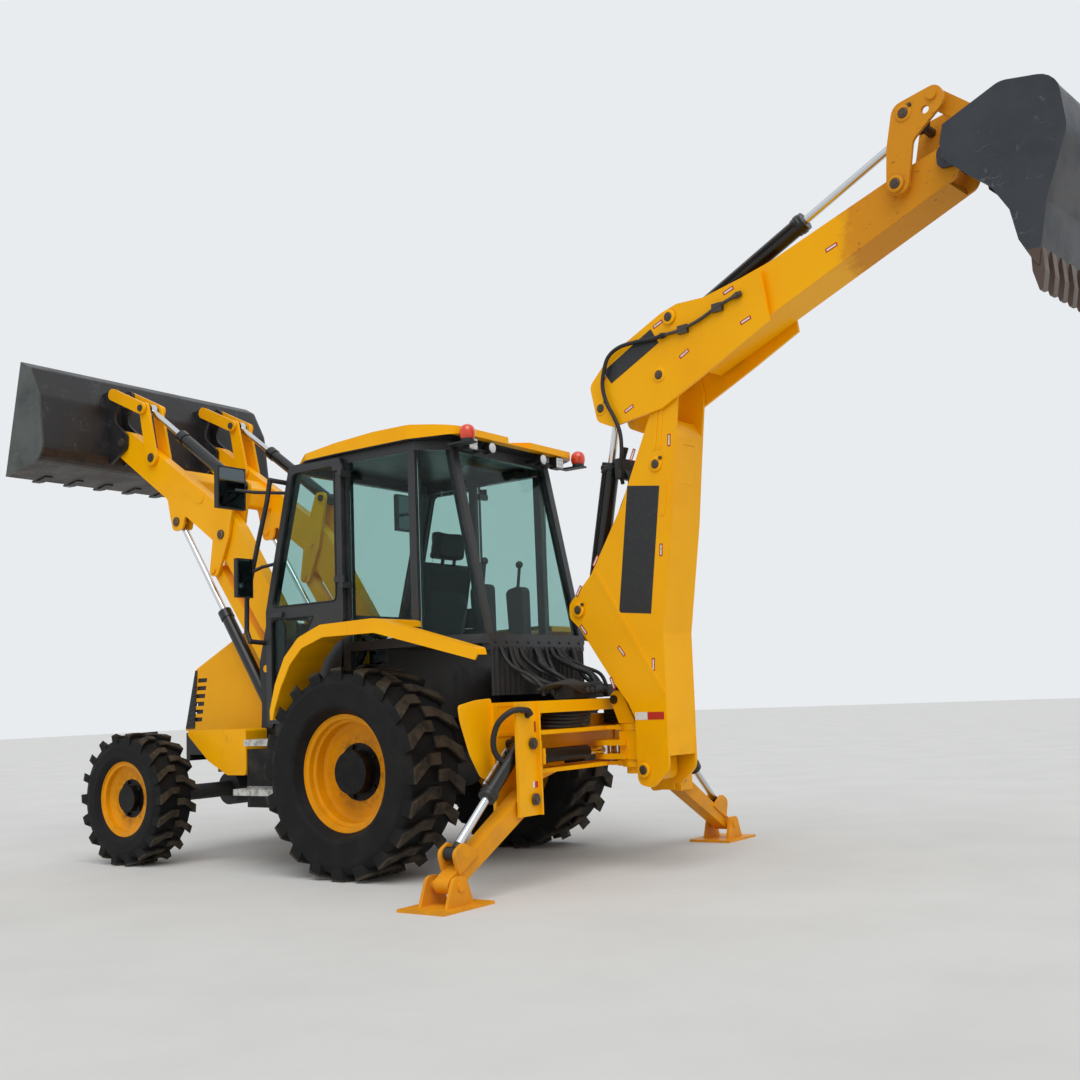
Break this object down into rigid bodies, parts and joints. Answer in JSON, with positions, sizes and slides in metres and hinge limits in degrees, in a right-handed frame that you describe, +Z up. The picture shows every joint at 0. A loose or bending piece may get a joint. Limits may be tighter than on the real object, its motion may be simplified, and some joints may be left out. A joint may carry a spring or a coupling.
{
  "type": "backhoe loader",
  "caption": "Backhoe loader with glazed cab, front bucket on linked arms, slewing digging arm with toothed bucket at the rear, and folding stabiliser legs with pads",
  "frame": {"origin": "on the ground under the middle of the overall box at rest, with the loader up, the digging arm up and out behind and the stabilisers down", "axes": "+X to the front of the machine, +Y to its left, +Z up"},
  "size_m": [8.1951, 3.5426, 4.1607],
  "materials": {
    "yellow_paint": "glossy yellow machine paint, worn on the digging arm",
    "black_paint": "black paint, half gloss",
    "chrome_rod": "polished ram rod",
    "tyre_rubber": "dusty black tyre rubber",
    "grey_castings": "dark grey castings and pins",
    "tinted_glass": "green-tinted safety glass",
    "seat_fabric": "dark grey woven cloth",
    "lamp_lens": "clear lamp lenses in black housings",
    "bucket_black": "black paint, scraped and rusty",
    "bucket_grey": "dark grey paint, worn at the teeth"
  },
  "bodies": {
    "machine": {"chassis": "black_paint", "driveline": "grey_castings", "side_boxes": "black_paint", "rear_frame": "yellow_paint", "cab_shell": "black_paint", "cab_roof": "yellow_paint", "cab_glass": "tinted_glass", "fenders": "yellow_paint", "operator_station": "seat_fabric", "seat_cushion": "seat_fabric", "cab_fittings": "black_paint"},
    "rear_wheel_left": {"rear_rim_left": "yellow_paint", "rear_tyre_left": "tyre_rubber"},
    "front_wheel_left": {"front_rim_left": "yellow_paint", "front_tyre_left": "tyre_rubber"},
    "knuckle_left": {"knuckle_left": "black_paint"},
    "rear_wheel_right": {"rear_rim_right": "yellow_paint", "rear_tyre_right": "tyre_rubber"},
    "front_wheel_right": {"front_rim_right": "yellow_paint", "front_tyre_right": "tyre_rubber"},
    "knuckle_right": {"knuckle_right": "black_paint"},
    "door_left": {"door_left": "black_paint"},
    "door_right": {"door_right": "black_paint"},
    "bonnet": {"bonnet": "yellow_paint"},
    "loader_arms": {"loader_arms": "yellow_paint"},
    "cranks": {"cranks": "yellow_paint"},
    "level_links": {"level_links": "yellow_paint"},
    "lever_pins": {"lever_pins": "grey_castings"},
    "levers": {"levers": "yellow_paint"},
    "link_pins": {"link_pins": "grey_castings"},
    "bucket_links": {"bucket_links": "yellow_paint"},
    "bucket_pins": {"bucket_pins": "grey_castings"},
    "loader_bucket": {"loader_bucket": "bucket_black"},
    "lift_barrels": {"lift_barrels": "black_paint"},
    "lift_rods": {"lift_rods": "chrome_rod"},
    "crank_pins": {"crank_pins": "grey_castings"},
    "tilt_barrels": {"tilt_barrels": "black_paint"},
    "tilt_rods": {"tilt_rods": "chrome_rod"},
    "kingpost": {"kingpost": "yellow_paint"},
    "boom": {"boom": "yellow_paint"},
    "dipper": {"dipper": "yellow_paint"},
    "tipping_lever": {"tipping_lever": "yellow_paint"},
    "tipping_link": {"tipping_link": "yellow_paint"},
    "hoe_bucket": {"hoe_bucket": "bucket_grey"},
    "boom_barrel": {"boom_barrel": "black_paint"},
    "boom_rod": {"boom_rod": "chrome_rod"},
    "dipper_barrel": {"dipper_barrel": "black_paint"},
    "dipper_rod": {"dipper_rod": "chrome_rod"},
    "crowd_barrel": {"crowd_barrel": "black_paint"},
    "crowd_rod": {"crowd_rod": "chrome_rod"},
    "swing_rod_left": {"swing_rod_left": "chrome_rod"},
    "swing_rod_right": {"swing_rod_right": "chrome_rod"},
    "leg_left": {"leg_left": "yellow_paint"},
    "pad_left": {"pad_left": "yellow_paint"},
    "leg_barrel_left": {"leg_barrel_left": "black_paint"},
    "leg_rod_left": {"leg_rod_left": "chrome_rod"},
    "leg_right": {"leg_right": "yellow_paint"},
    "pad_right": {"pad_right": "yellow_paint"},
    "leg_barrel_right": {"leg_barrel_right": "black_paint"},
    "leg_rod_right": {"leg_rod_right": "chrome_rod"}
  },
  "joints": [
    {"name": "rear_wheel_left_spin", "type": "hinge", "parent": "machine", "child": "rear_wheel_left", "pos_m": [0.42782, 0.865, 0.655], "axis": [0, 1, 0], "continuous": true},
    {"name": "steer_left", "type": "hinge", "parent": "machine", "child": "knuckle_left", "pos_m": [2.60282, 0.7, 0.47], "axis": [0, 0, 1], "range_deg": [-32, 32]},
    {"name": "front_wheel_left_spin", "type": "hinge", "parent": "knuckle_left", "child": "front_wheel_left", "pos_m": [2.60282, 0.95, 0.47], "axis": [0, 1, 0], "continuous": true},
    {"name": "rear_wheel_right_spin", "type": "hinge", "parent": "machine", "child": "rear_wheel_right", "pos_m": [0.42782, -0.865, 0.655], "axis": [0, 1, 0], "continuous": true},
    {"name": "steer_right", "type": "hinge", "parent": "machine", "child": "knuckle_right", "pos_m": [2.60282, -0.7, 0.47], "axis": [0, 0, 1], "range_deg": [-32, 32]},
    {"name": "front_wheel_right_spin", "type": "hinge", "parent": "knuckle_right", "child": "front_wheel_right", "pos_m": [2.60282, -0.95, 0.47], "axis": [0, 1, 0], "continuous": true},
    {"name": "door_left_hinge", "type": "hinge", "parent": "machine", "child": "door_left", "pos_m": [0.65282, 0.782, 1.8], "axis": [0, 0, 1], "range_deg": [0, 80]},
    {"name": "door_right_hinge", "type": "hinge", "parent": "machine", "child": "door_right", "pos_m": [0.65282, -0.782, 1.8], "axis": [0, 0, -1], "range_deg": [0, 80]},
    {"name": "bonnet_hinge", "type": "hinge", "parent": "machine", "child": "bonnet", "pos_m": [1.52782, 0, 1.702], "axis": [0, -1, 0], "range_deg": [0, 60]},
    {"name": "loader_lift", "type": "hinge", "parent": "machine", "child": "loader_arms", "pos_m": [1.58182, 0, 1.626], "axis": [0, 1, 0], "range_deg": [0, 75]},
    {"name": "bucket_tilt", "type": "hinge", "parent": "bucket_pins", "child": "loader_bucket", "pos_m": [3.37782, 0, 3.29], "axis": [0, 1, 0], "range_deg": [-50, 30]},
    {"name": "crank_turn", "type": "hinge", "parent": "loader_arms", "child": "cranks", "pos_m": [2.15682, 0, 2.395], "axis": [0, 1, 0], "range_deg": [-77, 2]},
    {"name": "level_link_turn", "type": "hinge", "parent": "machine", "child": "level_links", "pos_m": [1.66882, 0, 1.362], "axis": [0, 1, 0], "range_deg": [-2, 77]},
    {"name": "lever_pin_turn", "type": "hinge", "parent": "loader_arms", "child": "lever_pins", "pos_m": [2.99782, 0, 3.11], "axis": [0, 1, 0], "range_deg": [-77, 2]},
    {"name": "lever_turn", "type": "hinge", "parent": "lever_pins", "child": "levers", "pos_m": [2.99782, 0, 3.11], "axis": [0, 1, 0], "range_deg": [-52, 32]},
    {"name": "link_pin_turn", "type": "hinge", "parent": "levers", "child": "link_pins", "pos_m": [3.09782, 0, 3.53], "axis": [0, 1, 0], "range_deg": [-32, 52]},
    {"name": "bucket_link_turn", "type": "hinge", "parent": "link_pins", "child": "bucket_links", "pos_m": [3.09782, 0, 3.53], "axis": [0, 1, 0], "range_deg": [-2, 77]},
    {"name": "bucket_pin_turn", "type": "hinge", "parent": "loader_arms", "child": "bucket_pins", "pos_m": [3.37782, 0, 3.29], "axis": [0, 1, 0], "range_deg": [-77, 2]},
    {"name": "lift_barrel_turn", "type": "hinge", "parent": "machine", "child": "lift_barrels", "pos_m": [1.62782, 0, 0.96], "axis": [0, 1, 0], "range_deg": [-2, 64.23]},
    {"name": "lift_rod_slide", "type": "slide", "parent": "lift_barrels", "child": "lift_rods", "axis": [0.563, 0, 0.8264], "range_m": [-0.75039, 0.01]},
    {"name": "crank_pin_turn", "type": "hinge", "parent": "cranks", "child": "crank_pins", "pos_m": [2.03682, 0, 2.76], "axis": [0, 1, 0], "range_deg": [-2, 64.59]},
    {"name": "tilt_barrel_turn", "type": "hinge", "parent": "crank_pins", "child": "tilt_barrels", "pos_m": [2.03682, 0, 2.76], "axis": [0, 1, 0], "range_deg": [-8.55, 5.93]},
    {"name": "tilt_rod_slide", "type": "slide", "parent": "tilt_barrels", "child": "tilt_rods", "axis": [0.8093, 0, 0.5874], "range_m": [-0.33384, 0.20431]},
    {"name": "slew", "type": "hinge", "parent": "machine", "child": "kingpost", "pos_m": [-1.09218, 0, 0.65], "axis": [0, 0, 1], "range_deg": [-77, 91]},
    {"name": "boom_lift", "type": "hinge", "parent": "kingpost", "child": "boom", "pos_m": [-1.25595, 0.02011, 0.617], "axis": [-0.1219, -0.9925, 0], "range_deg": [0, 85]},
    {"name": "dipper_crowd", "type": "hinge", "parent": "boom", "child": "dipper", "pos_m": [-1.53386, 0.05423, 3], "axis": [-0.1219, -0.9925, 0], "range_deg": [-15, 80]},
    {"name": "bucket_crowd", "type": "hinge", "parent": "dipper", "child": "hoe_bucket", "pos_m": [-3.42069, 0.28591, 3.767], "axis": [-0.1219, -0.9925, 0], "range_deg": [-50, 70]},
    {"name": "tipping_lever_turn", "type": "hinge", "parent": "dipper", "child": "tipping_lever", "pos_m": [-3.14873, 0.25251, 3.69], "axis": [-0.1219, -0.9925, 0], "range_deg": [-25.16, 34.42]},
    {"name": "tipping_link_turn", "type": "hinge", "parent": "hoe_bucket", "child": "tipping_link", "pos_m": [-3.67478, 0.3171, 3.842], "axis": [-0.1219, -0.9925, 0], "range_deg": [-35.1, 25.65]},
    {"name": "boom_barrel_turn", "type": "hinge", "parent": "kingpost", "child": "boom_barrel", "pos_m": [-0.99292, -0.01219, 1.045], "axis": [-0.1219, -0.9925, 0], "range_deg": [-2, 88.69]},
    {"name": "boom_rod_slide", "type": "slide", "parent": "boom_barrel", "child": "boom_rod", "axis": [-0.3111, 0.0382, 0.9496], "range_m": [-0.01, 0.69261]},
    {"name": "dipper_barrel_turn", "type": "hinge", "parent": "boom", "child": "dipper_barrel", "pos_m": [-0.79441, -0.03656, 1.618], "axis": [-0.1219, -0.9925, 0], "range_deg": [-2.38, 4.01]},
    {"name": "dipper_rod_slide", "type": "slide", "parent": "dipper_barrel", "child": "dipper_rod", "axis": [-0.2113, 0.0259, 0.9771], "range_m": [-0.12161, 0.60527]},
    {"name": "crowd_barrel_turn", "type": "hinge", "parent": "dipper", "child": "crowd_barrel", "pos_m": [-1.63411, 0.06654, 3.339], "axis": [-0.1219, -0.9925, 0], "range_deg": [-5.1, 6.34]},
    {"name": "crowd_rod_slide", "type": "slide", "parent": "crowd_barrel", "child": "crowd_rod", "axis": [-0.9043, 0.111, 0.4122], "range_m": [-0.12784, 0.17498]},
    {"name": "swing_rod_left_slide", "type": "slide", "parent": "machine", "child": "swing_rod_left", "axis": [0, 1, 0], "range_m": [-0.14439, 0.16882]},
    {"name": "swing_rod_right_slide", "type": "slide", "parent": "machine", "child": "swing_rod_right", "axis": [0, 1, 0], "range_m": [-0.14439, 0.16882]},
    {"name": "stabiliser_left", "type": "hinge", "parent": "machine", "child": "leg_left", "pos_m": [-0.82718, 0.86, 0.5], "axis": [1, 0, 0], "range_deg": [0, 58]},
    {"name": "pad_left_tilt", "type": "hinge", "parent": "leg_left", "child": "pad_left", "pos_m": [-0.82718, 1.56127, 0.115], "axis": [1, 0, 0], "range_deg": [-30, 30]},
    {"name": "leg_barrel_left_turn", "type": "hinge", "parent": "machine", "child": "leg_barrel_left", "pos_m": [-0.82718, 0.865, 0.815], "axis": [1, 0, 0], "range_deg": [-2, 51.93]},
    {"name": "leg_rod_left_slide", "type": "slide", "parent": "leg_barrel_left", "child": "leg_rod_left", "axis": [0, 0.7575, -0.6528], "range_m": [-0.29876, 0.01]},
    {"name": "stabiliser_right", "type": "hinge", "parent": "machine", "child": "leg_right", "pos_m": [-0.82718, -0.86, 0.5], "axis": [-1, 0, 0], "range_deg": [0, 58]},
    {"name": "pad_right_tilt", "type": "hinge", "parent": "leg_right", "child": "pad_right", "pos_m": [-0.82718, -1.56127, 0.115], "axis": [-1, 0, 0], "range_deg": [-30, 30]},
    {"name": "leg_barrel_right_turn", "type": "hinge", "parent": "machine", "child": "leg_barrel_right", "pos_m": [-0.82718, -0.865, 0.815], "axis": [-1, 0, 0], "range_deg": [-2, 51.93]},
    {"name": "leg_rod_right_slide", "type": "slide", "parent": "leg_barrel_right", "child": "leg_rod_right", "axis": [0, -0.7575, -0.6528], "range_m": [-0.29876, 0.01]}
  ],
  "couplings": [
    {"joint": "steer_right", "follows": "steer_left", "ratio": 1},
    {"joint": "crank_turn", "follows": "loader_lift", "ratio": -1},
    {"joint": "level_link_turn", "follows": "loader_lift", "ratio": 1},
    {"joint": "lever_pin_turn", "follows": "loader_lift", "ratio": -1},
    {"joint": "lever_turn", "follows": "bucket_tilt", "ratio": 1},
    {"joint": "link_pin_turn", "follows": "bucket_tilt", "ratio": -1},
    {"joint": "bucket_link_turn", "follows": "loader_lift", "ratio": 1},
    {"joint": "bucket_pin_turn", "follows": "loader_lift", "ratio": -1},
    {"joint": "lift_barrel_turn", "follows": "loader_lift", "ratio": 0.82969},
    {"joint": "lift_rod_slide", "follows": "loader_lift", "m_per_rad": -0.56562},
    {"joint": "crank_pin_turn", "follows": "loader_lift", "ratio": 0.83447},
    {"joint": "tilt_barrel_turn", "follows": "bucket_tilt", "ratio": 0.131},
    {"joint": "tilt_rod_slide", "follows": "bucket_tilt", "m_per_rad": 0.3711},
    {"joint": "tipping_lever_turn", "follows": "bucket_crowd", "ratio": 0.46312},
    {"joint": "tipping_link_turn", "follows": "bucket_crowd", "ratio": -0.47293},
    {"joint": "boom_barrel_turn", "follows": "boom_lift", "ratio": 1.0199},
    {"joint": "boom_rod_slide", "follows": "boom_lift", "m_per_rad": 0.46012},
    {"joint": "dipper_barrel_turn", "follows": "dipper_crowd", "ratio": 0.025158},
    {"joint": "dipper_rod_slide", "follows": "dipper_crowd", "m_per_rad": 0.42633},
    {"joint": "crowd_barrel_turn", "follows": "bucket_crowd", "ratio": 0.061938},
    {"joint": "crowd_rod_slide", "follows": "bucket_crowd", "m_per_rad": 0.13504},
    {"joint": "swing_rod_left_slide", "follows": "slew", "m_per_rad": 0.1},
    {"joint": "swing_rod_right_slide", "follows": "slew", "m_per_rad": 0.1},
    {"joint": "leg_barrel_left_turn", "follows": "stabiliser_left", "ratio": 0.86092},
    {"joint": "leg_rod_left_slide", "follows": "stabiliser_left", "m_per_rad": -0.28525},
    {"joint": "leg_barrel_right_turn", "follows": "stabiliser_right", "ratio": 0.86092},
    {"joint": "leg_rod_right_slide", "follows": "stabiliser_right", "m_per_rad": -0.28525}
  ]
}
